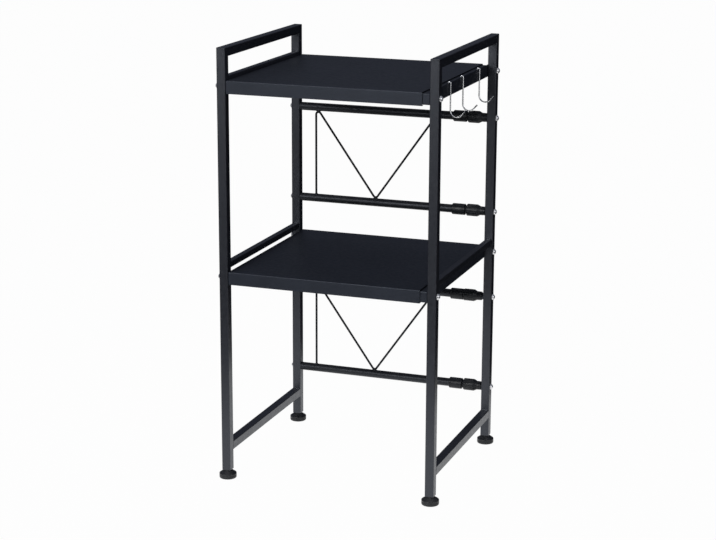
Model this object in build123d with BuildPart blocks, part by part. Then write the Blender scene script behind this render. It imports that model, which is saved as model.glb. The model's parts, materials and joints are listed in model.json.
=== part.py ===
from build123d import *
from math import asin, atan2, cos, degrees, hypot, sin
import os

os.makedirs("parts", exist_ok=True)

# Frame axes: X across the width, Y towards the rear, Z up. The origin is on the floor,
# midway between the four posts with the rack pushed together. Sizes are in millimetres.

# Side frames
frame_span = 480.0  # width between post centres, pushed together
frame_depth = 430.0  # depth between post centres
frame_height = 975.0  # floor to the top of the frames
post_end = 20.0  # floor to the lower end of the posts
tube_size = 20.0  # square tube of posts, top rails and bottom rails
tube_wall = 1.0
tube_inner_radius = 0.5
guard_size = 14.0  # thinner square tube of the ledge rail and guard rails
ledge_rise = 8.5  # top of the ledge rail above the upper shelf
guard_rise = 4.0  # gap between the lower shelf and the guard rail
bottom_rail_height = 64.0  # floor to the underside of the bottom rails

# Sliding shelves
extension = 200.0  # extra width when drawn right out
shelf_drop = 70.0  # top of the frames down to the top of the upper shelf
lower_shelf = 482.0  # floor to the top of the lower shelf
sheet = 1.0  # thickness of the trays
apron = 29.0  # height of the outer trays' edges
fold_radius = 2.5  # outside radius of the folded edges
hem = 8.0  # return flange along the bottom of the front and rear edges
tray_gap = 1.5  # clearance between the two trays of a shelf
end_rise = 3.5  # inner trays' closed end above their top, level with the outer trays
tray_setback = 1.0  # shelf front behind the front faces of the posts
seam_reveal = 17.0  # length of inner tray that shows, pushed together
tray_overlap = 85.0  # overlap of the two trays that is left, drawn out

# Telescoping back bars: two below the upper shelf, two below the lower shelf
bar_drop = 122.0  # top of a shelf down to the bar below it
second_bar_rise = 82.0  # top of the lower shelf up to the second bar
fourth_bar_height = 140.0  # floor to the lowest bar
outer_bar = 19.0
inner_bar = 16.0
bar_wall = 0.8
bar_overlap = 108.0  # overlap of the two tubes of a bar that is left, drawn out
slide_gap = 0.3  # radial clearance of pieces that slide or turn in each other
bush_length = 15.0
bush_flange = 4.0

# Twist-lock collars
ferrule_diameter = 26.0
ferrule_length = 31.0
ferrule_stop = 2.0  # inner shoulder that the outer tube's end butts on
ferrule_edge = 1.5
nose_diameter = 19.6  # threaded nose that the lock nut turns on
nose_length = 26.0
collet_slot = 2.0
collet_depth = 14.0
nut_diameter = 28.0
nut_length = 43.0
nut_grip_length = 25.0
nut_taper_length = 7.0
nut_end_diameter = 20.5
nut_edge = 1.5
nut_thread_gap = 0.4  # radial room between nose and nut
nut_post_gap = 2.0  # between a lock nut and the right post, pushed together
grip_grooves = 16
grip_groove_radius = 1.6
grip_groove_depth = 0.7
lock_gaps = {"first_bar": 4.5, "second_bar": 4.5, "third_bar": 1.0, "fourth_bar": 4.5}

# Wire braces
brace_wire = 5.0
brace_inset = 39.0  # left post to the brace's upright
brace_span = 300.0  # between the brace's two uprights
brace_bend = 6.0  # bend radius at the middle of the wire
weld_gap = 0.2  # between the wire and a bar, filled by the weld

# Bolts, nuts and plugs
bolt_diameter = 5.0
bolt_gap = 0.2  # radial room round a bolt in the posts and trays
bolt_drop = 13.0  # shelf top to the shelf bolts
bolt_head_diameter = 13.5
bolt_head_height = 6.0
bolt_head_rim = 0.9
bolt_socket = 4.0  # across flats of the head's socket
bolt_socket_depth = 2.0
bolt_end = 1.0  # bolt end past the nut
thread_gap = 0.1  # radial room of a threaded or pressed fit
nut_flats = 8.0
nut_height = 4.5
plug_length = 18.0
plug_thread = 13.0  # bolt length inside the plug

# Feet
pad_diameter = 39.0
pad_base_diameter = 35.0
pad_base_round = 3.0  # height of the rounded lower edge
pad_rim_top = 11.5
pad_shoulder_diameter = 20.0
pad_shoulder_top = 18.0
pad_neck_diameter = 17.0
pad_floor = 6.0  # thickness of the pad under the stud
stud_diameter = 8.0
stud_chamfer = 1.0
stud_reach = 28.0  # stud length inside the post, screwed in
insert_length = 25.0

# Hooks
hook_places = {"front_hook": -85.0, "middle_hook": 7.0, "rear_hook": 133.0}
hook_wire = 3.0
hook_leg = 4.7  # top of the wire's middle line to the end of the short leg
hook_drop = 75.5  # top of the wire's middle line to the bottom of the bow
hook_bow = 14.0  # radius of the bow
hook_rise = 48.0  # degrees, slope of the tip
hook_tip = 12.5  # straight length of the tip
hook_seat = 0.3  # gap between the wire and the tray

# Places that follow from the sizes above
half_span = frame_span / 2
half_depth = frame_depth / 2
inner_face = half_span - tube_size / 2  # inner faces of the posts
outer_face = half_span + tube_size / 2  # outer faces of the posts
rail_length = frame_depth - tube_size  # clear length between the posts of one side
tray_half_depth = half_depth + tube_size / 2 - tray_setback
seam = inner_face - seam_reveal  # open end of the outer trays
inner_drop = sheet + tray_gap  # inner trays lie this much lower and further in
inner_apron = apron - 2 * inner_drop
inner_tray_length = seam_reveal + extension + tray_overlap
bolt_hole = bolt_diameter + 2 * bolt_gap
upper_shelf = frame_height - shelf_drop
shelf_tops = {"upper": upper_shelf, "lower": lower_shelf}
shelf_bolt_heights = [top - bolt_drop for top in shelf_tops.values()]
bar_heights = {
    "first_bar": upper_shelf - bar_drop,
    "second_bar": lower_shelf + second_bar_rise,
    "third_bar": lower_shelf - bar_drop,
    "fourth_bar": fourth_bar_height,
}
outer_bore = outer_bar - 2 * bar_wall
inner_bore = inner_bar - 2 * bar_wall
nut_closed_end = inner_face - nut_post_gap
ferrule_end = nut_closed_end - nut_length - max(lock_gaps.values())
ferrule_start = ferrule_end - ferrule_length
tube_end = ferrule_end - ferrule_stop
inner_tube_start = tube_end - extension - bar_overlap + bush_flange
clear_bore = inner_bar + 2 * slide_gap
sides = {"left": -1, "right": 1}
ends = {"front": -1, "rear": 1}


def save(piece, node):
    piece.label = node
    export_step(piece, f"parts/{node}.step")


def mitre(end):
    """Plane of the welded corner between a post and the top rail."""
    corner = (0, end * half_depth, frame_height - tube_size / 2)
    return Plane(origin=corner, x_dir=(1, 0, 0), z_dir=(0, -end, 1))


def square_tube(size):
    """Hollow square section with rounded corners, in the sketch that is open."""
    RectangleRounded(size, size, tube_inner_radius + tube_wall)
    bore = size - 2 * tube_wall
    RectangleRounded(bore, bore, tube_inner_radius, mode=Mode.SUBTRACT)


def bar_plane(x, height):
    """Plane across a back bar at x, facing right."""
    return Plane(origin=(x, half_depth, height), x_dir=(0, 1, 0), z_dir=(1, 0, 0))


def bar_outline_plane(height):
    """Plane along a back bar, with X along the bar and Y as the radius."""
    return Plane(origin=(0, half_depth, height), x_dir=(1, 0, 0), z_dir=(0, -1, 0))


def bar_axis(height):
    return Axis((0, half_depth, height), (1, 0, 0))


# Posts: mitred at the top, drilled for the shelf bolts and, at the rear, for the bar bolts
for side, hand in sides.items():
    for end, way in ends.items():
        holes = list(shelf_bolt_heights)
        if end == "rear":
            holes += bar_heights.values()
        with BuildPart() as post:
            with BuildSketch(Plane.XY.offset(post_end)):
                with Locations((hand * half_span, way * half_depth)):
                    square_tube(tube_size)
            extrude(amount=frame_height - post_end)
            split(bisect_by=mitre(way), keep=Keep.BOTTOM)
            with BuildSketch(Plane.YZ.offset(hand * half_span)):
                with Locations([(way * half_depth, height) for height in holes]):
                    Circle(bolt_hole / 2)
            extrude(amount=tube_size, both=True, mode=Mode.SUBTRACT)
        save(post.part, f"{side}_{end}_post")

# Top rails: mitred into the posts at both ends
for side, hand in sides.items():
    with BuildPart() as top_rail:
        with BuildSketch(Plane.XZ):
            with Locations((hand * half_span, frame_height - tube_size / 2)):
                square_tube(tube_size)
        extrude(amount=half_depth + tube_size, both=True)
        for way in ends.values():
            split(bisect_by=mitre(way), keep=Keep.TOP)
    save(top_rail.part, f"{side}_top_rail")

# Ledge rail: along the left edge of the upper shelf, welded between the posts
ledge_top = upper_shelf + ledge_rise
with BuildPart() as ledge_rail:
    with BuildSketch(Plane.XZ):
        with Locations((-inner_face - guard_size / 2, ledge_top - guard_size / 2)):
            square_tube(guard_size)
    extrude(amount=rail_length / 2, both=True)
save(ledge_rail.part, "left_ledge_rail")

# Guard rails and bottom rails: square cut, welded between the posts
for side, hand in sides.items():
    with BuildPart() as guard_rail:
        with BuildSketch(Plane.XZ):
            with Locations((hand * half_span, lower_shelf + guard_rise + guard_size / 2)):
                square_tube(guard_size)
        extrude(amount=rail_length / 2, both=True)
    save(guard_rail.part, f"{side}_guard_rail")

    with BuildPart() as bottom_rail:
        with BuildSketch(Plane.XZ):
            with Locations((hand * half_span, bottom_rail_height + tube_size / 2)):
                square_tube(tube_size)
        extrude(amount=rail_length / 2, both=True)
    save(bottom_rail.part, f"{side}_bottom_rail")


# Shelf trays: folded sheet, closed at the end that is bolted to the posts, which stands up on the inner ones
def make_tray(node, hand, open_end, half_width, top, edge, bolt_height, rise=0.0):
    closed_end = hand * inner_face
    length = abs(closed_end - open_end)
    middle = (closed_end + open_end) / 2
    bottom = top - edge
    with BuildPart() as tray:
        with BuildSketch(Plane.XY.offset(bottom)):
            with Locations((middle, 0)):
                Rectangle(length, 2 * half_width)
        extrude(amount=edge)
        open_face = tray.faces().sort_by(Axis.X)[-1 if hand < 0 else 0]
        top_face = tray.faces().sort_by(Axis.Z)[-1]
        shut_face = tray.faces().sort_by(Axis.X)[0 if hand < 0 else -1]
        folds = top_face.edges() + shut_face.edges().filter_by(Axis.Z)
        fillet([e for e in folds if e not in open_face.edges()], radius=fold_radius)
        bottom_face = tray.faces().sort_by(Axis.Z)[0]
        open_face = tray.faces().sort_by(Axis.X)[-1 if hand < 0 else 0]
        offset(amount=-sheet, openings=[bottom_face, open_face])
        hem_length = length - fold_radius
        with Locations((middle - hand * fold_radius / 2, 0, bottom)):
            with GridLocations(0, 2 * half_width - hem, 1, 2):
                Box(hem_length, hem, sheet, align=(Align.CENTER, Align.CENTER, Align.MIN))
        with BuildSketch(Plane.YZ.offset(closed_end)):
            with Locations([(way * half_depth, bolt_height) for way in ends.values()]):
                Circle(bolt_hole / 2)
        extrude(amount=2 * sheet, both=True, mode=Mode.SUBTRACT)
        if rise:
            with BuildSketch(Plane.XZ):
                with Locations((closed_end - hand * sheet, top + rise - sheet)):
                    Circle(sheet)
                    Rectangle(2 * sheet, rise - sheet + fold_radius, align=(Align.CENTER, Align.MAX))
            extrude(amount=half_width - fold_radius, both=True)
    save(tray.part, node)


for shelf, top in shelf_tops.items():
    bolt_height = top - bolt_drop
    make_tray(f"{shelf}_outer_tray", -1, seam, tray_half_depth, top, apron, bolt_height)
    make_tray(f"{shelf}_inner_tray", 1, inner_face - inner_tray_length, tray_half_depth - inner_drop,
              top - inner_drop, inner_apron, bolt_height, end_rise)

# Back bars: outer tube on the left post, inner tube on the right post
for bar, height in bar_heights.items():
    with BuildPart() as outer_tube:
        with BuildSketch(bar_plane(-inner_face, height)):
            Circle(outer_bar / 2)
            Circle(outer_bore / 2, mode=Mode.SUBTRACT)
        extrude(amount=tube_end + inner_face)
    save(outer_tube.part, f"{bar}_outer_tube")

    with BuildPart() as inner_tube:
        with BuildSketch(bar_plane(inner_tube_start, height)):
            Circle(inner_bar / 2)
            Circle(inner_bore / 2, mode=Mode.SUBTRACT)
        extrude(amount=inner_face - inner_tube_start)
    save(inner_tube.part, f"{bar}_inner_tube")

# Guide bushes: pressed into the hidden ends of the inner tubes, sliding in the outer tubes
with BuildPart() as bushes:
    for height in bar_heights.values():
        with BuildSketch(bar_plane(inner_tube_start, height)):
            Circle(inner_bore / 2 - thread_gap)
        extrude(amount=bush_length)
        with BuildSketch(bar_plane(inner_tube_start, height)):
            Circle(outer_bore / 2 - slide_gap)
        extrude(amount=-bush_flange)
save(bushes.part, "inner_tube_bushes")

# Ferrules: sleeve over the outer tube's end, with a slotted nose that the lock nut turns on
for bar, height in bar_heights.items():
    sleeve = outer_bar / 2 + thread_gap
    nose_end = ferrule_end + nose_length
    with BuildPart() as ferrule:
        with BuildSketch(bar_outline_plane(height)):
            with BuildLine():
                Polyline(
                    (ferrule_start, sleeve),
                    (ferrule_start, ferrule_diameter / 2 - ferrule_edge),
                    (ferrule_start + ferrule_edge, ferrule_diameter / 2),
                    (ferrule_end - ferrule_edge, ferrule_diameter / 2),
                    (ferrule_end, ferrule_diameter / 2 - ferrule_edge),
                    (ferrule_end, nose_diameter / 2),
                    (nose_end, nose_diameter / 2),
                    (nose_end, clear_bore / 2),
                    (tube_end, clear_bore / 2),
                    (tube_end, sleeve),
                    close=True,
                )
            make_face()
        revolve(axis=bar_axis(height))
        with BuildSketch(bar_plane(nose_end, height)):
            Rectangle(collet_slot, nose_diameter)
            Rectangle(nose_diameter, collet_slot)
        extrude(amount=-collet_depth, mode=Mode.SUBTRACT)
    save(ferrule.part, f"{bar}_ferrule")

# Lock nuts: grooved grip, a short taper and a straight end round the inner tube
for bar, height in bar_heights.items():
    start = ferrule_end + lock_gaps[bar]
    grip_end = start + nut_grip_length
    thread_end = start + nose_length
    nut_end = start + nut_length
    threads = nose_diameter / 2 + nut_thread_gap
    with BuildPart() as lock_nut:
        with BuildSketch(bar_outline_plane(height)):
            with BuildLine():
                Polyline(
                    (start, threads),
                    (start, nut_diameter / 2 - nut_edge),
                    (start + nut_edge, nut_diameter / 2),
                    (grip_end, nut_diameter / 2),
                    (grip_end + nut_taper_length, nut_end_diameter / 2),
                    (nut_end, nut_end_diameter / 2),
                    (nut_end, clear_bore / 2),
                    (thread_end, clear_bore / 2),
                    (thread_end, threads),
                    close=True,
                )
            make_face()
        revolve(axis=bar_axis(height))
        with BuildSketch(bar_plane(start, height)):
            with PolarLocations(nut_diameter / 2 + grip_groove_radius - grip_groove_depth, grip_grooves):
                Circle(grip_groove_radius)
        extrude(amount=nut_grip_length, mode=Mode.SUBTRACT)
    save(lock_nut.part, f"{bar}_lock_nut")


# Wire braces: one bent wire between two outer tubes, welded on at the bends and the feet
def make_brace(node, high_bar, low_bar):
    reach = outer_bar / 2 + weld_gap + brace_wire / 2
    left = brace_inset - inner_face
    centre = left + brace_span / 2
    bend_x = left + brace_bend
    bend_z = bar_heights[high_bar] - reach - brace_bend
    vee_z = bar_heights[low_bar] + reach + brace_bend
    foot = bar_heights[low_bar] + outer_bar / 2 + weld_gap
    run = hypot(centre - bend_x, vee_z - bend_z)
    slope = atan2(vee_z - bend_z, centre - bend_x) - asin(2 * brace_bend / run)
    across = brace_bend * sin(slope)
    along = brace_bend * cos(slope)
    turn = degrees(slope)
    with BuildPart() as brace:
        with BuildLine(Plane.XZ.offset(-half_depth)) as path:
            Line((left, foot), (left, bend_z))
            CenterArc((bend_x, bend_z), brace_bend, 180, turn - 90)
            Line((bend_x - across, bend_z + along), (centre + across, vee_z - along))
            CenterArc((centre, vee_z), brace_bend, turn - 90, -turn)
            mirror(about=Plane.YZ.offset(centre))
        with BuildSketch(Plane.XY.offset(foot)):
            with Locations((left, half_depth)):
                Circle(brace_wire / 2)
        sweep(path=path.wire())
    save(brace.part, node)


make_brace("upper_wire_brace", "first_bar", "second_bar")
make_brace("lower_wire_brace", "third_bar", "fourth_bar")


# Bolts: domed head with a hex socket on the outer face of a post, shank running inwards
def make_bolts(node, hand, places, inner_end):
    head = outer_face + bolt_head_height
    with BuildPart() as bolts:
        for y, z in places:
            with BuildSketch(Plane(origin=(0, y, z), x_dir=(hand, 0, 0), z_dir=(0, -hand, 0))):
                with BuildLine():
                    Polyline(
                        (head, 0),
                        (inner_end, 0),
                        (inner_end, bolt_diameter / 2),
                        (outer_face, bolt_diameter / 2),
                        (outer_face, bolt_head_diameter / 2),
                        (outer_face + bolt_head_rim, bolt_head_diameter / 2),
                    )
                    TangentArc(
                        (head, 0),
                        (outer_face + bolt_head_rim, bolt_head_diameter / 2),
                        tangent=(0, 1),
                    )
                make_face()
            revolve(axis=Axis((0, y, z), (1, 0, 0)))
            with BuildSketch(Plane(origin=(hand * head, y, z), z_dir=(hand, 0, 0))):
                RegularPolygon(bolt_socket / 2, 6, major_radius=False)
            extrude(amount=-bolt_socket_depth, mode=Mode.SUBTRACT)
    save(bolts.part, node)


shelf_places = [(way * half_depth, height) for height in shelf_bolt_heights for way in ends.values()]
bar_places = [(half_depth, height) for height in bar_heights.values()]
nut_seat = inner_face - sheet  # inner face of the trays' closed ends

for side, hand in sides.items():
    make_bolts(f"{side}_shelf_bolts", hand, shelf_places, nut_seat - nut_height - bolt_end)
    make_bolts(f"{side}_bar_bolts", hand, bar_places, inner_face - plug_thread)

    with BuildPart() as shelf_nuts:
        with BuildSketch(Plane.YZ.offset(hand * nut_seat)):
            with Locations(shelf_places):
                RegularPolygon(nut_flats / 2, 6, major_radius=False, rotation=30)
                Circle(bolt_diameter / 2 + thread_gap, mode=Mode.SUBTRACT)
        extrude(amount=-hand * nut_height)
    save(shelf_nuts.part, f"{side}_shelf_nuts")

    bore = outer_bore if hand < 0 else inner_bore
    with BuildPart() as bar_plugs:
        with BuildSketch(Plane.YZ.offset(hand * inner_face)):
            with Locations(bar_places):
                Circle(bore / 2 - thread_gap)
                Circle(bolt_diameter / 2 + thread_gap, mode=Mode.SUBTRACT)
        extrude(amount=-hand * plug_length)
    save(bar_plugs.part, f"{side}_bar_plugs")

# Feet: insert in the post, threaded stud, and a round pad on the stud
pad_top = post_end - slide_gap
stud_start = pad_floor + slide_gap
stud_top = post_end + stud_reach
stud_room = stud_diameter / 2 + slide_gap

for side, hand in sides.items():
    with BuildPart() as foot_inserts:
        with BuildSketch(Plane.XY.offset(post_end)):
            with Locations([(hand * half_span, way * half_depth) for way in ends.values()]):
                plug = tube_size - 2 * (tube_wall + thread_gap)
                RectangleRounded(plug, plug, tube_inner_radius)
                Circle(stud_room, mode=Mode.SUBTRACT)
        extrude(amount=insert_length)
    save(foot_inserts.part, f"{side}_foot_inserts")

    for end, way in ends.items():
        foot = (hand * half_span, way * half_depth)
        with BuildPart() as stud:
            with BuildSketch(Plane.XY.offset(stud_start)):
                with Locations(foot):
                    Circle(stud_diameter / 2)
            extrude(amount=stud_top - stud_start)
            chamfer(stud.edges().group_by(Axis.Z)[-1], length=stud_chamfer)
        save(stud.part, f"{side}_{end}_foot_stud")

        with BuildPart() as pad:
            with BuildSketch(Plane(origin=(*foot, 0), x_dir=(1, 0, 0), z_dir=(0, -1, 0))):
                with BuildLine():
                    Polyline(
                        (pad_diameter / 2, pad_base_round),
                        (pad_diameter / 2, pad_rim_top),
                        (pad_shoulder_diameter / 2, pad_shoulder_top),
                        (pad_neck_diameter / 2, pad_shoulder_top),
                        (pad_neck_diameter / 2, pad_top),
                        (stud_room, pad_top),
                        (stud_room, pad_floor),
                        (0, pad_floor),
                        (0, 0),
                        (pad_base_diameter / 2, 0),
                    )
                    TangentArc(
                        (pad_diameter / 2, pad_base_round),
                        (pad_base_diameter / 2, 0),
                        tangent=(0, -1),
                    )
                make_face()
            revolve(axis=Axis((*foot, 0), (0, 0, 1)))
        save(pad.part, f"{side}_{end}_foot_pad")

# Hooks: short leg inside the tray's raised end, over it, down its outer face to an upturned bow
hook_bend = sheet + hook_seat + hook_wire / 2
crown_x = inner_face - sheet
crown_z = upper_shelf - inner_drop + end_rise - sheet
leg_x = crown_x - hook_bend
shank_x = crown_x + hook_bend
hook_top = crown_z + hook_bend
bow_z = hook_top - hook_drop + hook_bow

for hook, place in hook_places.items():
    with BuildPart() as wire_hook:
        with BuildLine(Plane.XZ.offset(-place)) as path:
            Line((leg_x, hook_top - hook_leg), (leg_x, crown_z))
            CenterArc((crown_x, crown_z), hook_bend, 180, -180)
            Line((shank_x, crown_z), (shank_x, bow_z))
            bow = CenterArc((shank_x + hook_bow, bow_z), hook_bow, 180, 90 + hook_rise)
            Line(bow @ 1, bow @ 1 + hook_tip * (bow % 1))
        with BuildSketch(Plane.XY.offset(hook_top - hook_leg)):
            with Locations((leg_x, place)):
                Circle(hook_wire / 2)
        sweep(path=path.wire())
    save(wire_hook.part, hook)
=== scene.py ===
# %% [markdown]
# This lesson dresses a two-tier kitchen rack for a microwave oven. The rack is black powder-coated
# steel: two welded side frames, two shelves of folded sheet that slide into each other, and four
# telescoping bars at the back. The measured parts come in as a fixed frame, and every piece made
# here is placed from that frame, so nothing has to be fitted by eye.

# %% Load the frame
import json
from math import asin, atan2, cos, hypot, pi, radians, sin

import bpy
from mathutils import Matrix, Vector


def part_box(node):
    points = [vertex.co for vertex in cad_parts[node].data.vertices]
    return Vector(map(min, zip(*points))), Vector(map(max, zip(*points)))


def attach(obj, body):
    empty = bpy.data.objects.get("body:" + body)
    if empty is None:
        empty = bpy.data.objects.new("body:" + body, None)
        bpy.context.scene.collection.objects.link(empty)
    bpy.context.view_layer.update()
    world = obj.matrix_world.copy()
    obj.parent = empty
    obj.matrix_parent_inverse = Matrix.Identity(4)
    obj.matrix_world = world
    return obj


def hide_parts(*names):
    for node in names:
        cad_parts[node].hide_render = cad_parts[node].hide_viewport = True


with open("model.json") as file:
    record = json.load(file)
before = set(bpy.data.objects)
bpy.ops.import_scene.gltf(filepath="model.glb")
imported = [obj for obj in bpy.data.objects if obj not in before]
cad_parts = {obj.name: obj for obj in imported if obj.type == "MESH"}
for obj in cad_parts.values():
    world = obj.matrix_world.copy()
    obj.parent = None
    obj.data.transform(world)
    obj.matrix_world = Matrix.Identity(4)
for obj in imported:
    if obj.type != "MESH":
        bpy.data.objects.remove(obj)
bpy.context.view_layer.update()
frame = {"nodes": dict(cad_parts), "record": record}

nodes = frame["nodes"]
mm = 0.001

# %% [markdown]
# The camera stands in front and to the right of the rack, a little above its top, and looks down.
# Its place and lens were worked out from the corners of the posts, the bolts and the feet in the
# photograph. A camera's matrix has three columns, right, up and back, so turning it is a matter of
# writing down those three directions.

# %% Camera
picture_width = 716
focal_pixels = 1891.5
camera_place = Vector((1.4043, -3.9098, 1.5140))
yaw, pitch, roll = radians(19.847), radians(14.317), radians(0.218)
back = Vector((sin(yaw) * cos(pitch), -cos(yaw) * cos(pitch), sin(pitch)))
level = Vector((cos(yaw), sin(yaw), 0))
upright = back.cross(level)
right = cos(roll) * level + sin(roll) * upright
up = cos(roll) * upright - sin(roll) * level

bpy.ops.object.camera_add()
camera = bpy.context.object
camera.name = "photo_camera"
facing = Matrix((right, up, back)).transposed().to_4x4()
camera.matrix_world = Matrix.Translation(camera_place) @ facing
camera.data.sensor_fit = "HORIZONTAL"
camera.data.lens = camera.data.sensor_width * focal_pixels / picture_width
bpy.context.scene.camera = camera
print("camera lens", round(camera.data.lens, 1), "mm")

# %% [markdown]
# The floor is a plain white sweep. Rays from the camera and from shiny metal find it almost pure
# white, while a small share of ordinary diffuse paint stays in, so the rack still leaves a soft
# shadow round its feet. The world beyond it is white to the same rays. To diffuse rays, which carry
# the soft light, it is a dim studio with a pale strip low down, where the floor ends.

# %% Floor and world
def seen_directly(tree, share):
    """A factor that is `share` for camera, glossy and transmission rays and 0 for the others."""
    path = tree.nodes.new("ShaderNodeLightPath")
    either = tree.nodes.new("ShaderNodeMath")
    either.operation = "MAXIMUM"
    tree.links.new(path.outputs["Is Camera Ray"], either.inputs[0])
    tree.links.new(path.outputs["Is Glossy Ray"], either.inputs[1])
    any_of = tree.nodes.new("ShaderNodeMath")
    any_of.operation = "MAXIMUM"
    tree.links.new(either.outputs[0], any_of.inputs[0])
    tree.links.new(path.outputs["Is Transmission Ray"], any_of.inputs[1])
    part = tree.nodes.new("ShaderNodeMath")
    part.operation = "MULTIPLY"
    tree.links.new(any_of.outputs[0], part.inputs[0])
    part.inputs[1].default_value = share
    return part.outputs[0]


floor_size, floor_white = 60.0, 0.98
bpy.ops.object.select_all(action="DESELECT")
bpy.ops.mesh.primitive_plane_add(size=floor_size, location=(0, 0, 0))
floor = bpy.context.object
floor.name = "floor"
floor_paint = bpy.data.materials.new("floor_paint")
floor_paint.use_nodes = True
tree = floor_paint.node_tree
tree.nodes.clear()
paint = tree.nodes.new("ShaderNodeBsdfDiffuse")
paint.inputs["Color"].default_value = (0.9, 0.9, 0.9, 1)
glow = tree.nodes.new("ShaderNodeEmission")
glow.inputs["Strength"].default_value = 1.0
mix = tree.nodes.new("ShaderNodeMixShader")
output = tree.nodes.new("ShaderNodeOutputMaterial")
tree.links.new(seen_directly(tree, floor_white), mix.inputs["Fac"])
tree.links.new(paint.outputs[0], mix.inputs[1])
tree.links.new(glow.outputs[0], mix.inputs[2])
tree.links.new(mix.outputs[0], output.inputs["Surface"])
floor.data.materials.append(floor_paint)

strip_end, studio_start = 0.02, 0.1
pale_strip, dim_studio = (1, 1, 1, 1), (0.062, 0.07, 0.092, 1)
world = bpy.data.worlds.new("studio")
world.use_nodes = True
tree = world.node_tree
sky = tree.nodes["Background"]
direction = tree.nodes.new("ShaderNodeTexCoord")
height = tree.nodes.new("ShaderNodeSeparateXYZ")
tree.links.new(direction.outputs["Generated"], height.inputs[0])
wall = tree.nodes.new("ShaderNodeValToRGB")
wall.color_ramp.elements[0].position = strip_end
wall.color_ramp.elements[0].color = pale_strip
wall.color_ramp.elements[1].position = studio_start
wall.color_ramp.elements[1].color = dim_studio
tree.links.new(height.outputs["Z"], wall.inputs["Fac"])
tree.links.new(wall.outputs["Color"], sky.inputs["Color"])
backdrop = tree.nodes.new("ShaderNodeBackground")
backdrop.inputs["Color"].default_value = (1, 1, 1, 1)
mix = tree.nodes.new("ShaderNodeMixShader")
tree.links.new(seen_directly(tree, 1.0), mix.inputs["Fac"])
tree.links.new(sky.outputs[0], mix.inputs[1])
tree.links.new(backdrop.outputs[0], mix.inputs[2])
tree.links.new(mix.outputs[0], tree.nodes["World Output"].inputs["Surface"])
bpy.context.scene.world = world
bpy.context.scene.view_settings.view_transform = "Standard"
print("floor and world are ready")

# %% [markdown]
# Black steel shows what it mirrors. In the photograph the upright faces are light just above the
# floor and dark higher up, so the white floor near the feet shows in them and something dark shows
# further out. A photographer lays dark cloth round the set for that, and hangs it up as a tent with a
# pale panel in the roof. The front faces get a little lighter again towards the top, so from about two
# metres on the cloth in front is greyer. Only reflections can find this tent: the camera, the shadows
# and the soft light all pass it by. It starts as a ring of edges, which is drawn outwards, up and in.

# %% Dark cloth round the floor
def glowing_cloth(name, color):
    """A cloth that is evenly lit from behind."""
    material = bpy.data.materials.new(name)
    material.use_nodes = True
    tree = material.node_tree
    tree.nodes.clear()
    light = tree.nodes.new("ShaderNodeEmission")
    light.inputs["Color"].default_value = (*color, 1)
    output = tree.nodes.new("ShaderNodeOutputMaterial")
    tree.links.new(light.outputs[0], output.inputs["Surface"])
    return material


cloth_middle = (0, -0.18, 1 * mm)
hole_radius, near_radius, cloth_radius, panel_radius = 0.86, 2.2, 12.6, 4.0
wall_height, tent_height = 1.0, 8.0
dark_weave, tent_blue, roof_white, front_grey = ((0.03, 0.034, 0.045), (0.082, 0.09, 0.118),
                                                 (0.9, 0.9, 0.92), (0.28, 0.28, 0.28))
bpy.ops.object.select_all(action="DESELECT")
bpy.ops.mesh.primitive_circle_add(vertices=96, radius=hole_radius, location=cloth_middle)
cloth = bpy.context.object
cloth.name = "dark_cloth"
bpy.ops.object.mode_set(mode="EDIT")
bpy.ops.mesh.select_all(action="SELECT")
for inner, outer in ((hole_radius, near_radius), (near_radius, cloth_radius)):
    bpy.ops.mesh.extrude_edges_move()
    wider = outer / inner
    bpy.ops.transform.resize(value=(wider, wider, 1), center_override=cloth_middle)
bpy.ops.mesh.extrude_edges_move(TRANSFORM_OT_translate={"value": (0, 0, wall_height)})
bpy.ops.mesh.extrude_edges_move(TRANSFORM_OT_translate={"value": (0, 0, tent_height)})
bpy.ops.mesh.extrude_edges_move()
narrower = panel_radius / cloth_radius
bpy.ops.transform.resize(value=(narrower, narrower, 1), center_override=cloth_middle)
bpy.ops.mesh.edge_face_add()
bpy.ops.object.mode_set(mode="OBJECT")
cloth_paint = bpy.data.materials.new("cloth_paint")
cloth_paint.use_nodes = True
weave = cloth_paint.node_tree.nodes["Principled BSDF"]
weave.inputs["Base Color"].default_value = (*dark_weave, 1)
weave.inputs["Roughness"].default_value = 0.95
cloth.data.materials.append(cloth_paint)
cloth.data.materials.append(glowing_cloth("tent_cloth", tent_blue))
cloth.data.materials.append(glowing_cloth("roof_panel", roof_white))
cloth.data.materials.append(glowing_cloth("front_cloth", front_grey))
on_wall, on_tent, on_roof, in_front = range(4)
for face in cloth.data.polygons:
    face.material_index = on_tent if face.center.z > wall_height else on_wall
    if len(face.vertices) > 4:
        face.material_index = on_roof
    if face.center.z < wall_height / 4 and face.center.y < -near_radius:
        face.material_index = in_front
cloth.visible_camera = False
cloth.visible_diffuse = False
cloth.visible_shadow = False
cloth.visible_transmission = False
print("dark cloth with", len(cloth.data.polygons), "faces")

# %% [markdown]
# Two soft boxes light the rack as in a product studio. The key is to the left of the camera and not
# very high, so the front faces come out lighter than the shelf tops. The panel on the right lights
# nothing by itself, since diffuse rays don't find it: bolt heads and hooks mirror it as white sparks.

# %% Lamps
def soft_box(name, place, aim, size, watts):
    bpy.ops.object.light_add(type="AREA", location=place)
    lamp = bpy.context.object
    lamp.name = name
    lamp.data.shape = "SQUARE"
    lamp.data.size = size
    lamp.data.energy = watts
    lamp.rotation_euler = (Vector(aim) - Vector(place)).to_track_quat("-Z", "Y").to_euler()
    print("lamp", name, watts, "W")
    return lamp


soft_box("key_light", (-1.1, -4.2, 2.3), (0, 0, 0.5), 2.4, 92)
spark_panel = soft_box("spark_panel", (3.4, -1.6, 1.6), (0, 0, 0.6), 2.6, 40)
spark_panel.visible_diffuse = False

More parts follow.
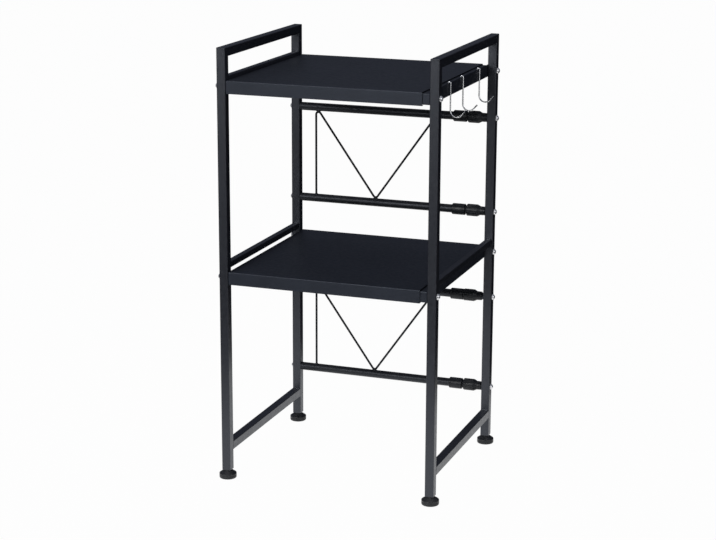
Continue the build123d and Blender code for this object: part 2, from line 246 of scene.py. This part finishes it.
# %% [markdown]
# A finish is a small set of nodes: something that varies the colour, something that varies the
# roughness, and a bump for the surface itself. The helpers below add one node at a time, so that
# each finish further down reads as a short recipe. All patterns use Object coordinates, which on
# this rack are metres, so a noise of scale 1000 has grains of about a millimetre.

# %% Helpers for finishes
noise_low, noise_high = 0.3, 0.7


def new_finish(name):
    """A material with its shader, and a Mapping node that gives the pattern coordinates."""
    material = bpy.data.materials.new(name)
    material.use_nodes = True
    tree = material.node_tree
    shader = tree.nodes["Principled BSDF"]
    place = tree.nodes.new("ShaderNodeTexCoord")
    mapping = tree.nodes.new("ShaderNodeMapping")
    tree.links.new(place.outputs["Object"], mapping.inputs["Vector"])
    return material, tree, shader, mapping


def grain(tree, mapping, scale, detail, stretch=None):
    """Noise with grains of about 1 / scale metres."""
    noise = tree.nodes.new("ShaderNodeTexNoise")
    noise.inputs["Scale"].default_value = scale
    noise.inputs["Detail"].default_value = detail
    if stretch:
        own = tree.nodes.new("ShaderNodeMapping")
        own.inputs["Scale"].default_value = stretch
        tree.links.new(mapping.outputs["Vector"], own.inputs["Vector"])
        mapping = own
    tree.links.new(mapping.outputs["Vector"], noise.inputs["Vector"])
    return noise.outputs["Fac"]


def ramp(tree, source, low, high):
    """Colours from low to high along a noise."""
    steps = tree.nodes.new("ShaderNodeValToRGB")
    steps.color_ramp.elements[0].position = noise_low
    steps.color_ramp.elements[1].position = noise_high
    steps.color_ramp.elements[0].color = (*low, 1)
    steps.color_ramp.elements[1].color = (*high, 1)
    tree.links.new(source, steps.inputs["Fac"])
    return steps.outputs["Color"]


def span(tree, source, low, high):
    """Numbers from low to high along a noise."""
    remap = tree.nodes.new("ShaderNodeMapRange")
    remap.inputs["From Min"].default_value = noise_low
    remap.inputs["From Max"].default_value = noise_high
    remap.inputs["To Min"].default_value = low
    remap.inputs["To Max"].default_value = high
    tree.links.new(source, remap.inputs["Value"])
    return remap.outputs["Result"]


def bump(tree, source, depth, strength, under=None):
    """A bump of that depth in metres, laid over another one if given."""
    node = tree.nodes.new("ShaderNodeBump")
    node.inputs["Distance"].default_value = depth
    node.inputs["Strength"].default_value = strength
    tree.links.new(source, node.inputs["Height"])
    if under:
        tree.links.new(under, node.inputs["Normal"])
    return node.outputs["Normal"]


print("finish helpers are ready")

# %% [markdown]
# Powder coat is melted on as dust, and it sets with a slight orange peel: a waviness of one to two
# millimetres with a finer grain over it. It is nearly black with a breath of blue, and satin, so the
# roughness wanders a little from place to place. The frames, shelves and bars were coated apart, so
# each gets its own colour and its own grain. The sheen is a little blue too, by its specular tint.
# Over a weld the coat runs together and shines more, and on thin wire it stays dull.

# %% Powder coats
def powder_coat(name, low, high, roughness, peel, sheen_level, sheen_tint):
    material, tree, shader, mapping = new_finish(name)
    cloud = grain(tree, mapping, 14, 4)
    tree.links.new(ramp(tree, cloud, low, high), shader.inputs["Base Color"])
    tree.links.new(span(tree, grain(tree, mapping, 120, 5), *roughness), shader.inputs["Roughness"])
    waves = bump(tree, grain(tree, mapping, peel, 1), 0.12 * mm, 0.5)
    dust = bump(tree, grain(tree, mapping, 4200, 2), 0.03 * mm, 0.4, waves)
    tree.links.new(dust, shader.inputs["Normal"])
    shader.inputs["Specular IOR Level"].default_value = sheen_level
    shader.inputs["Specular Tint"].default_value = (*sheen_tint, 1)
    return material


frame_black = (0.009, 0.0097, 0.014), (0.012, 0.013, 0.0185)
shelf_black = (0.009, 0.0115, 0.019), (0.013, 0.016, 0.026)
bar_black = (0.009, 0.0095, 0.012), (0.013, 0.0135, 0.016)
wire_black = (0.006, 0.0065, 0.008), (0.009, 0.0095, 0.011)
cool, cooler = (0.85, 0.9, 1), (0.8, 0.87, 1)
frame_coat = powder_coat("frame_powder_coat", *frame_black, (0.31, 0.4), 700, 0.92, cool)
weld_coat = powder_coat("weld_powder_coat", *frame_black, (0.2, 0.28), 700, 0.92, cool)
shelf_coat = powder_coat("shelf_powder_coat", *shelf_black, (0.42, 0.52), 900, 0.62, cooler)
bar_coat = powder_coat("bar_powder_coat", *bar_black, (0.4, 0.5), 800, 0.5, cool)
wire_coat = powder_coat("wire_powder_coat", *wire_black, (0.5, 0.6), 800, 0.35, cool)
print("powder coats:", frame_coat.name, weld_coat.name, shelf_coat.name, bar_coat.name, wire_coat.name)

# %% [markdown]
# The lock collars and the feet are moulded plastic. The mould was spark-eroded, which leaves a fine
# even grain, and thick pieces show faint flow marks. The hidden bushes, plugs and inserts are the
# same plastic without pigment, a milky white that lets a little light in.

# %% Moulded plastics
def moulded_plastic(name, low, high, roughness, pitting):
    material, tree, shader, mapping = new_finish(name)
    flow = grain(tree, mapping, 60, 3, stretch=(0.25, 1, 1))
    tree.links.new(ramp(tree, flow, low, high), shader.inputs["Base Color"])
    tree.links.new(span(tree, grain(tree, mapping, 900, 3), *roughness), shader.inputs["Roughness"])
    pits = bump(tree, grain(tree, mapping, 2600, 3), pitting, 0.6)
    tree.links.new(pits, shader.inputs["Normal"])
    shader.inputs["Specular IOR Level"].default_value = 0.35
    return material


collar_black = (0.012, 0.014, 0.017), (0.018, 0.021, 0.025)
foot_black = (0.03, 0.031, 0.034), (0.045, 0.046, 0.05)
milky_white = (0.56, 0.56, 0.53), (0.62, 0.62, 0.6)
collar_plastic = moulded_plastic("moulded_collar", *collar_black, (0.3, 0.42), 0.06 * mm)
foot_plastic = moulded_plastic("moulded_foot", *foot_black, (0.34, 0.46), 0.05 * mm)
inner_plastic = moulded_plastic("natural_plastic", *milky_white, (0.4, 0.5), 0.03 * mm)
milky = inner_plastic.node_tree.nodes["Principled BSDF"]
milky.inputs["Subsurface Weight"].default_value = 0.15
milky.inputs["Subsurface Radius"].default_value = (2 * mm, 2 * mm, 2 * mm)
print("plastics:", collar_plastic.name, foot_plastic.name, inner_plastic.name)

# %% [markdown]
# Two bright metals are left. The bolts are zinc plated, a cool silver with cloudy patches where the
# passivation is thicker. That film is milky, so only a part of the light is mirrored as metal does
# it. The hooks are chromed wire, satin bright, with faint draw lines that run along the wire.

# %% Bright metals
def bright_metal(name, low, high, roughness, scale, relief, metal):
    material, tree, shader, mapping = new_finish(name)
    clouds = grain(tree, mapping, scale, 4)
    tree.links.new(ramp(tree, clouds, low, high), shader.inputs["Base Color"])
    wear = grain(tree, mapping, scale * 4, 3)
    tree.links.new(span(tree, wear, *roughness), shader.inputs["Roughness"])
    lines = bump(tree, grain(tree, mapping, 2500, 2, stretch=(1, 1, 0.15)), relief, 0.35)
    tree.links.new(lines, shader.inputs["Normal"])
    shader.inputs["Metallic"].default_value = metal
    return material


zinc_silver = (0.84, 0.85, 0.87), (0.92, 0.92, 0.93)
chrome_silver = (0.76, 0.77, 0.79), (0.84, 0.85, 0.86)
zinc_steel = bright_metal("bright_zinc", *zinc_silver, (0.26, 0.36), 180, 0.03 * mm, 0.8)
chrome_wire = bright_metal("bright_chrome", *chrome_silver, (0.2, 0.3), 90, 0.01 * mm, 1.0)
finishes = {"frame_coat": frame_coat, "shelf_coat": shelf_coat, "bar_coat": bar_coat,
            "collar_plastic": collar_plastic, "foot_plastic": foot_plastic,
            "inner_plastic": inner_plastic, "zinc_steel": zinc_steel, "chrome_wire": chrome_wire}
print("metals:", zinc_steel.name, chrome_wire.name)

# %% [markdown]
# The measured pieces keep their shape and only get their finish. Their meshes are loose triangles,
# which would show every facet of a round tube, and they may not be edited. Modifiers do it without
# touching the mesh: Weld joins the triangles, Edge Split keeps the sharp edges sharp, and Weighted
# Normal lets the large flat faces stay flat beside their rounded corners.

# %% Dress the measured pieces
def dress(node, finish):
    piece = nodes[node]
    piece.data.materials.clear()
    piece.data.materials.append(finish)
    normals = piece.data.attributes.get("custom_normal")
    if normals:
        piece.data.attributes.remove(normals)
    for face in piece.data.polygons:
        face.use_smooth = True
    piece.modifiers.new("join", "WELD").merge_threshold = 0.02 * mm
    piece.modifiers.new("creases", "EDGE_SPLIT").split_angle = radians(35)
    flat = piece.modifiers.new("flat_faces", "WEIGHTED_NORMAL")
    flat.weight = 90


for part in frame["record"]["subparts"]:
    dress(part["node"], finishes[part["material_slot"]])
print("dressed", len(nodes), "measured pieces")

# %% [markdown]
# The pieces that follow are modelled one by one, each in place of a measured one. Most start as a ring
# of points. Drawing the ring out makes a tube, spinning it round a centre makes a bend, and widening
# it on the way makes a turned shape. These few moves are all that wire, collars, feet and bolts need.

# %% Helpers for modelling
def ring(place, radius, count, turn=(0, 0, 0)):
    """An open ring of points, selected in edit mode."""
    bpy.ops.object.select_all(action="DESELECT")
    bpy.ops.mesh.primitive_circle_add(vertices=count, radius=radius, location=place, rotation=turn)
    bpy.ops.object.transform_apply(location=True, rotation=True, scale=True)
    bpy.ops.object.mode_set(mode="EDIT")
    bpy.ops.mesh.select_mode(type="VERT")
    bpy.ops.mesh.select_all(action="SELECT")


def draw_out(move):
    bpy.ops.mesh.extrude_region_move(TRANSFORM_OT_translate={"value": move})


def bend(centre, clockwise, steps):
    """Spins the selected ring round a centre, in degrees clockwise seen from the front."""
    bpy.ops.mesh.spin(steps=steps, angle=-radians(clockwise), center=centre, axis=(0, 1, 0))


def pick_points(test):
    """Selects the points whose place passes the test."""
    bpy.ops.mesh.select_mode(type="VERT")
    bpy.ops.mesh.select_all(action="DESELECT")
    bpy.ops.object.mode_set(mode="OBJECT")
    for point in bpy.context.object.data.vertices:
        point.select = test(point.co)
    bpy.ops.object.mode_set(mode="EDIT")


def round_end(centre, outwards, radius):
    """Closes the open end of a wire with a small dome."""
    centre, outwards = Vector(centre), Vector(outwards).normalized()
    pick_points(lambda co: (co - centre).length < radius * 1.05)
    for reach, size in ((0.3, 0.86), (0.2, 0.62)):
        draw_out(outwards * reach * radius)
        centre = centre + outwards * reach * radius
        bpy.ops.transform.resize(value=(size,) * 3, center_override=centre)
    bpy.ops.mesh.edge_face_add()


def close_mesh():
    """Merges doubled points and turns all faces outwards."""
    bpy.ops.mesh.select_all(action="SELECT")
    bpy.ops.mesh.remove_doubles(threshold=0.005 * mm)
    bpy.ops.mesh.normals_make_consistent(inside=False)
    bpy.ops.object.mode_set(mode="OBJECT")


def fit_out(piece, name, body, slot, stands_for, finish=None):
    """Names a finished piece, smooths and paints it, and puts it on its body."""
    piece.name = piece.data.name = name
    bpy.ops.object.select_all(action="DESELECT")
    piece.select_set(True)
    bpy.context.view_layer.objects.active = piece
    bpy.ops.object.shade_smooth_by_angle(angle=radians(38))
    piece.data.materials.clear()
    piece.data.materials.append(finish or finishes[slot])
    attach(piece, body)
    if stands_for:
        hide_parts(*stands_for)
    print(name, "has", len(piece.data.polygons), "faces")


def copy_of(piece, move):
    """A copy with its own mesh, moved, with its place in the mesh."""
    bpy.ops.object.select_all(action="DESELECT")
    piece.select_set(True)
    bpy.context.view_layer.objects.active = piece
    bpy.ops.object.duplicate(linked=False)
    bpy.ops.transform.translate(value=move)
    bpy.ops.object.transform_apply(location=True, rotation=True, scale=True)
    return bpy.context.object


print("modelling helpers are ready")

# %% [markdown]
# The three hooks are bent from 3 mm chromed wire. A short leg sits inside the raised right end of the
# upper shelf, the wire goes over that edge, runs down outside and turns up into a bow. A curve with a
# round profile would do, but drawing a ring through the same bends as the wire bender keeps every
# bend a true arc.

# %% Hooks
lo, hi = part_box("front_hook")
thin = 1.5 * mm
leg, small, bow = 4.7 * mm, 2.8 * mm, 14 * mm
leg_x, hook_y, hook_top = lo.x + thin, (lo.y + hi.y) / 2, hi.z - thin
leg_end = hook_top - leg
shank_x = leg_x + 2 * small
bow_z = lo.z + thin + bow
rise, tip_length = 48, 11.7 * mm
tip = Vector((cos(radians(rise)), 0, sin(radians(rise))))

ring((leg_x, hook_y, leg_end), thin, 20)
draw_out((0, 0, hook_top - small - leg_end))
bend((leg_x + small, hook_y, hook_top - small), 180, 18)
draw_out((0, 0, bow_z - hook_top + small))
bend((shank_x + bow, hook_y, bow_z), -90 - rise, 24)
draw_out(tip * tip_length)
bow_end = Vector((shank_x + bow, hook_y, bow_z)) + bow * Vector((tip.z, 0, -tip.x))
round_end(bow_end + tip * tip_length, tip, thin)
pick_points(lambda co: abs(co.z - leg_end) < 0.01 * mm and co.x < leg_x + 2 * thin)
bpy.ops.mesh.edge_face_add()
close_mesh()
hook_wire = bpy.context.object
for name in ("middle_hook", "rear_hook"):
    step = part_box(name)[0].y - lo.y
    fit_out(copy_of(hook_wire, (0, step, 0)), f"{name}_wire", name, "chrome_wire", [name])
fit_out(hook_wire, "front_hook_wire", "front_hook", "chrome_wire", ["front_hook"])

# %% [markdown]
# Each wire brace is one length of 5 mm wire, bent into an M between two bars. The bends touch the
# upper bar, the V and the two feet touch the lower bar, and all five places are welded. The slope
# of the long runs follows from the two bends that they have to meet.

# %% Wire braces
thick = 2.5 * mm
turn_radius = 6 * mm


def brace_wire(node):
    lo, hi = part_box(node)
    y, left, far, foot = (lo.y + hi.y) / 2, lo.x + thick, hi.x - thick, lo.z
    middle = (left + far) / 2
    high, low = hi.z - thick - turn_radius, foot + thick + turn_radius
    run = hypot(middle - left - turn_radius, high - low)
    slope = atan2(low - high, middle - left - turn_radius) - asin(2 * turn_radius / run)
    length = (run ** 2 - 4 * turn_radius ** 2) ** 0.5
    sweep, vee = 90 - slope / pi * 180, -2 * slope / pi * 180
    ring((left, y, foot), thick, 20)
    draw_out((0, 0, high - foot))
    bend((left + turn_radius, y, high), sweep, 16)
    draw_out((length * cos(slope), 0, length * sin(slope)))
    bend((middle, y, low), -vee, 14)
    draw_out((length * cos(slope), 0, -length * sin(slope)))
    bend((far - turn_radius, y, high), sweep, 16)
    draw_out((0, 0, foot - high))
    for x in (left, far):
        pick_points(lambda co: co.z < foot + 0.01 * mm and abs(co.x - x) < 2 * thick)
        bpy.ops.mesh.edge_face_add()
    close_mesh()
    return bpy.context.object


for shelf in ("upper", "lower"):
    node = f"{shelf}_wire_brace"
    fit_out(brace_wire(node), f"{shelf}_brace_wire", "left_side", "bar_coat", [node], wire_coat)

# %% [markdown]
# Welds are the small beads where rails meet posts and wire meets bars. A welder lays them as a row
# of overlapping drops, so the bead here is a ring drawn out in short steps, alternately wide and
# narrow, and pinched at both ends. It lies half sunk in the corner, under the frame's black coat.

# %% Weld beads
pinched, narrow = 0.55, 0.86
rail_bead = 1.6 * mm


def weld_bead(place, length, radius):
    """A rippled bead along X, centred on a place."""
    place = Vector(place)
    ring(place - Vector((length / 2, 0, 0)), radius * pinched, 12, (0, pi / 2, 0))
    bpy.ops.mesh.edge_face_add()
    drops = max(4, round(length / (2.2 * radius)) * 2)
    wide = radius * pinched
    for step in range(1, drops + 1):
        size = radius * (pinched if step == drops else 1.0 if step % 2 else narrow)
        draw_out((length / drops, 0, 0))
        here = place + Vector((length * (step / drops - 0.5), 0, 0))
        bpy.ops.transform.resize(value=(1, size / wide, size / wide), center_override=here)
        wide = size
    close_mesh()
    return bpy.context.object


def join_pieces(pieces):
    bpy.ops.object.select_all(action="DESELECT")
    for piece in pieces:
        piece.select_set(True)
    bpy.context.view_layer.objects.active = pieces[0]
    bpy.ops.object.join()
    return pieces[0]


for side in ("left", "right"):
    beads = []
    rails = {"bottom_rail": 17 * mm, "guard_rail": 12 * mm}
    if side == "left":
        rails["ledge_rail"] = 11 * mm
    for rail, length in rails.items():
        lo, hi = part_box(f"{side}_{rail}")
        first = weld_bead(((lo.x + hi.x) / 2, lo.y, hi.z), length, rail_bead)
        moves = ((0, hi.y - lo.y, 0), (0, 0, lo.z - hi.z), (0, hi.y - lo.y, lo.z - hi.z))
        beads += [first] + [copy_of(first, move) for move in moves]
    fit_out(join_pieces(beads), f"{side}_rail_welds", f"{side}_side", "frame_coat", [], weld_coat)

# %% [markdown]
# The braces are welded in the same way. At each bend the bead fills the narrow notch between wire
# and bar, and at the feet a little cone of weld runs round the end of the wire.

# %% Brace welds
notch_length, notch_bead = 11 * mm, 2.1 * mm
cone_radius, cone_sink = 4.2 * mm, 1.2 * mm
for shelf in ("upper", "lower"):
    lo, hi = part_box(f"{shelf}_wire_brace")
    y, left, far = (lo.y + hi.y) / 2, lo.x + thick, hi.x - thick
    first = weld_bead(((left + far) / 2, y, lo.z - 0.2 * mm), notch_length, notch_bead)
    beads = [first]
    for x in (left + turn_radius, far - turn_radius):
        beads.append(copy_of(first, (x - (left + far) / 2, 0, hi.z - lo.z + 0.3 * mm)))
    for x in (left, far):
        ring((x, y, lo.z - cone_sink), cone_radius, 20)
        for lift, size in ((1.2, 0.9), (0.7, 0.84), (0.8, 0.84)):
            draw_out((0, 0, lift * mm))
            bpy.ops.transform.resize(value=(size, size, 1), center_override=(x, y, lo.z))
        bpy.ops.mesh.edge_face_add()
        pick_points(lambda co: co.z < lo.z - cone_sink + 0.1 * mm)
        bpy.ops.mesh.edge_face_add()
        close_mesh()
        beads.append(bpy.context.object)
    fit_out(join_pieces(beads), f"{shelf}_brace_welds", "left_side", "bar_coat", [])

# %% [markdown]
# Each back bar locks with a two-part plastic collar. The ferrule is pressed on the end of the outer
# tube and carries a threaded nose. Both parts are turned shapes, so one helper follows a list of
# stations: how far along the axis, and how wide there. The list runs out along the outside and back
# through the bore, and the last ring merges with the first.

# %% Ferrules
def turned(foot, axis, stations, count=64):
    """A ring drawn out along X or Z through stations of (distance, radius)."""
    foot, along = Vector(foot), Vector((1, 0, 0)) if axis == "X" else Vector((0, 0, 1))
    here, wide = stations[0]
    ring(foot + along * here, wide, count, (0, pi / 2, 0) if axis == "X" else (0, 0, 0))
    for reach, radius in stations[1:]:
        draw_out(along * (reach - here))
        size = radius / wide
        value = (1, size, size) if axis == "X" else (size, size, 1)
        bpy.ops.transform.resize(value=value, center_override=foot + along * reach)
        here, wide = reach, radius


def soften(width):
    """Rounds the sharp edges of the active piece."""
    bpy.ops.object.modifier_add(type="BEVEL")
    rounding = bpy.context.object.modifiers[-1]
    rounding.width = width
    rounding.segments = 2
    rounding.limit_method = "ANGLE"
    rounding.angle_limit = radians(28)
    bpy.ops.object.modifier_apply(modifier=rounding.name)


def scaled(stations):
    return [(reach * mm, radius * mm) for reach, radius in stations]


bars = ("first_bar", "second_bar", "third_bar", "fourth_bar")
sleeve = [(0, 9.6), (0, 11.9), (1.2, 13), (3.4, 13), (3.8, 12.5), (4.8, 12.5), (5.2, 13),
          (25.8, 13), (26.2, 12.5), (27.2, 12.5), (27.6, 13), (29.8, 13), (31, 11.9), (31, 9.2)]
nose_start, nose_step, nose_steps = 31.4, 0.75, 33
thread = [(nose_start + nose_step * turn, 9.8 if turn % 2 else 9.2) for turn in range(nose_steps)]
bore = [(57, 9.2), (57, 8.3), (29, 8.3), (29, 9.6), (0, 9.6)]
lo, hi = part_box("first_bar_ferrule")
ferrule_place = Vector((lo.x, (lo.y + hi.y) / 2, (lo.z + hi.z) / 2))
turned(ferrule_place, "X", scaled(sleeve + thread + bore))
close_mesh()
soften(0.25 * mm)
ferrule = bpy.context.object
for bar in bars[1:]:
    node = f"{bar}_ferrule"
    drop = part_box(node)[0].z - lo.z
    lowered = copy_of(ferrule, (0, 0, drop))
    fit_out(lowered, f"{bar}_collar_ferrule", "left_side", "collar_plastic", [node])
fit_out(ferrule, "first_bar_collar_ferrule", "left_side", "collar_plastic", ["first_bar_ferrule"])

# %% [markdown]
# The lock nut turns on that nose and squeezes it on the inner tube. Its fat end has sixteen grooves
# for the fingers, and then it tapers to a straight end round the tube. The ring has six points to
# each groove, so the grooves are strips of faces that are picked by their angle, inset and pushed in.

# %% Lock nuts
def pick_faces(test):
    """Selects the faces whose centre passes the test."""
    bpy.ops.mesh.select_mode(type="FACE")
    bpy.ops.mesh.select_all(action="DESELECT")
    bpy.ops.object.mode_set(mode="OBJECT")
    for face in bpy.context.object.data.polygons:
        face.select = test(face.center)
    bpy.ops.object.mode_set(mode="EDIT")


grip = [(0, 10.2), (0, 12.7), (0.5, 13.5), (1.5, 14), (23.6, 14), (25, 13.9), (25.5, 13.4), (26.3, 13.1),
        (30.9, 10.8), (31.8, 10.4), (33, 10.25), (39, 10.25), (39.4, 9.9), (40.6, 9.9), (41, 10.25),
        (42.3, 10.2), (43, 9.6), (43, 8.3), (26, 8.3), (26, 10.2), (0, 10.2)]
lo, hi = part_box("first_bar_lock_nut")
nut_place = Vector((lo.x, (lo.y + hi.y) / 2, (lo.z + hi.z) / 2))
grooves, points_per_groove = 16, 6
nut_points = grooves * points_per_groove


def in_groove(centre):
    side = centre - nut_place
    strip = int((atan2(side.z, side.y) % (2 * pi)) / (2 * pi) * nut_points)
    on_grip = 1.6 * mm < side.x < 23.5 * mm and hypot(side.y, side.z) > 13 * mm
    return on_grip and strip % points_per_groove < points_per_groove / 2


turned(nut_place, "X", scaled(grip), nut_points)
close_mesh()
bpy.ops.object.mode_set(mode="EDIT")
pick_faces(in_groove)
bpy.ops.mesh.inset(thickness=0.5 * mm, depth=-0.7 * mm)
bpy.ops.object.mode_set(mode="OBJECT")
soften(0.22 * mm)
lock_nut = bpy.context.object
for bar in bars[1:]:
    node = f"{bar}_lock_nut"
    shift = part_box(node)[0] - lo
    fit_out(copy_of(lock_nut, shift), f"{bar}_collar_nut", node, "collar_plastic", [node])
fit_out(lock_nut, "first_bar_collar_nut", "first_bar_lock_nut", "collar_plastic", ["first_bar_lock_nut"])

# %% [markdown]
# The rack stands on four screw feet. The pad is a turned plastic shape with a rounded lower edge, a
# straight rim, a sloping shoulder and a short neck. The stud is an M8 screw, and its thread is a row
# of narrow and wide stations. It only shows when a foot is screwed out.

# %% Feet
pad_shape = [(0, 3), (0, 17.5), (0.35, 18.4), (1.1, 19.1), (2.0, 19.4), (3.0, 19.5), (6.4, 19.5),
             (6.7, 19.2), (7.2, 19.2), (7.5, 19.5), (10.8, 19.5), (11.5, 19.2), (17.2, 10.8), (18, 9.9),
             (18, 8.5), (19.3, 8.5), (19.7, 8.1), (19.7, 4.3), (6, 4.3), (6, 0.6)]
screw_start, screw_step, screw_steps = 6.6, 0.625, 65
screw = [(6.3, 0.6), (6.3, 3.2)]
screw += [(screw_start + screw_step * turn, 4.0 if turn % 2 else 3.35) for turn in range(screw_steps)]
screw += [(47.4, 3.4), (48, 2.9), (48, 0.6)]


def foot_piece(node, stations):
    lo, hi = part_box(node)
    place = Vector(((lo.x + hi.x) / 2, (lo.y + hi.y) / 2, 0))
    turned(place, "Z", scaled(stations))
    bpy.ops.mesh.edge_face_add()
    first = (stations[0][0] * mm, stations[0][1] * mm)
    pick_points(lambda co: abs(co.z - first[0]) < 1e-6 and (co - place).xy.length < first[1] * 1.01)
    bpy.ops.mesh.edge_face_add()
    close_mesh()
    return bpy.context.object


pad = foot_piece("left_front_foot_pad", pad_shape)
soften(0.2 * mm)
stud = foot_piece("left_front_foot_stud", screw)
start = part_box("left_front_foot_pad")[0]
corners = [f"{side}_{end}_foot" for side in ("left", "right") for end in ("front", "rear")]
for foot in corners[1:]:
    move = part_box(f"{foot}_pad")[0] - start
    fit_out(copy_of(pad, move), f"{foot}_round_pad", f"{foot}_pad", "foot_plastic", [f"{foot}_pad"])
    fit_out(copy_of(stud, move), f"{foot}_screw", f"{foot}_stud", "zinc_steel", [f"{foot}_stud"])
fit_out(pad, f"{corners[0]}_round_pad", f"{corners[0]}_pad", "foot_plastic", [f"{corners[0]}_pad"])
fit_out(stud, f"{corners[0]}_screw", f"{corners[0]}_stud", "zinc_steel", [f"{corners[0]}_stud"])

# %% [markdown]
# Dome-head bolts with a hex socket hold the shelves and the bars to the posts. The dome is turned
# like the collars, and the socket is cut with a six-sided block and a Boolean modifier. The right-hand
# bolts are modelled first. The left-hand ones are mirrored copies, and since a mirror turns faces
# inside out, their normals are made to point outwards again.

# %% Bolts
head, rim, edge, shaft = 6 * mm, 6.75 * mm, 0.9 * mm, 2.5 * mm
socket_radius, socket_block = 2.31 * mm, 4 * mm
curve = (rim ** 2 + (head - edge) ** 2) / (2 * (head - edge))


def dome_bolt(face, y, z, inner_end):
    """A bolt along X whose head sits on a post's outer face."""
    tip = inner_end - face
    dome = [(tip, 0.4 * mm), (tip, 2.1 * mm), (tip + 0.4 * mm, shaft), (0, shaft)]
    dome += [(0, rim - 0.25 * mm), (0.25 * mm, rim), (edge, rim)]
    for tilt in (66, 57, 48, 38, 28, 18, 8):
        dome.append((head - curve * (1 - cos(radians(tilt))), curve * sin(radians(tilt))))
    turned((face, y, z), "X", dome, 48)
    bpy.ops.mesh.edge_face_add()
    pick_points(lambda co: co.x < inner_end + 0.01 * mm and hypot(co.y - y, co.z - z) < 0.5 * mm)
    bpy.ops.mesh.edge_face_add()
    close_mesh()
    bolt = bpy.context.object
    bpy.ops.object.select_all(action="DESELECT")
    bpy.ops.mesh.primitive_cylinder_add(vertices=6, radius=socket_radius, depth=socket_block,
                                        location=(face + head, y, z), rotation=(0, pi / 2, 0))
    block = bpy.context.object
    bpy.ops.object.select_all(action="DESELECT")
    bolt.select_set(True)
    bpy.context.view_layer.objects.active = bolt
    bpy.ops.object.modifier_add(type="BOOLEAN")
    socket = bolt.modifiers[-1]
    socket.operation = "DIFFERENCE"
    socket.object = block
    bpy.ops.object.modifier_apply(modifier=socket.name)
    bpy.data.objects.remove(block)
    return bolt


post_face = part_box("right_front_post")[1].x
for kind in ("shelf_bolts", "bar_bolts"):
    node = f"right_{kind}"
    lo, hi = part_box(node)
    if kind == "shelf_bolts":
        places = [(y, z) for y in (lo.y + rim, hi.y - rim) for z in (lo.z + rim, hi.z - rim)]
    else:
        tubes = [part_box(f"{bar}_outer_tube") for bar in bars]
        places = [((a.y + b.y) / 2, (a.z + b.z) / 2) for a, b in tubes]
    first = dome_bolt(post_face, *places[0], lo.x)
    moves = [(0, y - places[0][0], z - places[0][1]) for y, z in places[1:]]
    bolts = join_pieces([first] + [copy_of(first, move) for move in moves])
    opposite = copy_of(bolts, (0, 0, 0))
    bpy.ops.transform.resize(value=(-1, 1, 1), center_override=(0, 0, 0))
    bpy.ops.object.transform_apply(location=True, rotation=True, scale=True)
    bpy.ops.object.mode_set(mode="EDIT")
    bpy.ops.mesh.select_all(action="SELECT")
    bpy.ops.mesh.normals_make_consistent(inside=False)
    bpy.ops.object.mode_set(mode="OBJECT")
    fit_out(opposite, f"left_dome_{kind}", "left_side", "zinc_steel", [f"left_{kind}"])
    fit_out(bolts, f"right_dome_{kind}", "right_side", "zinc_steel", [node])
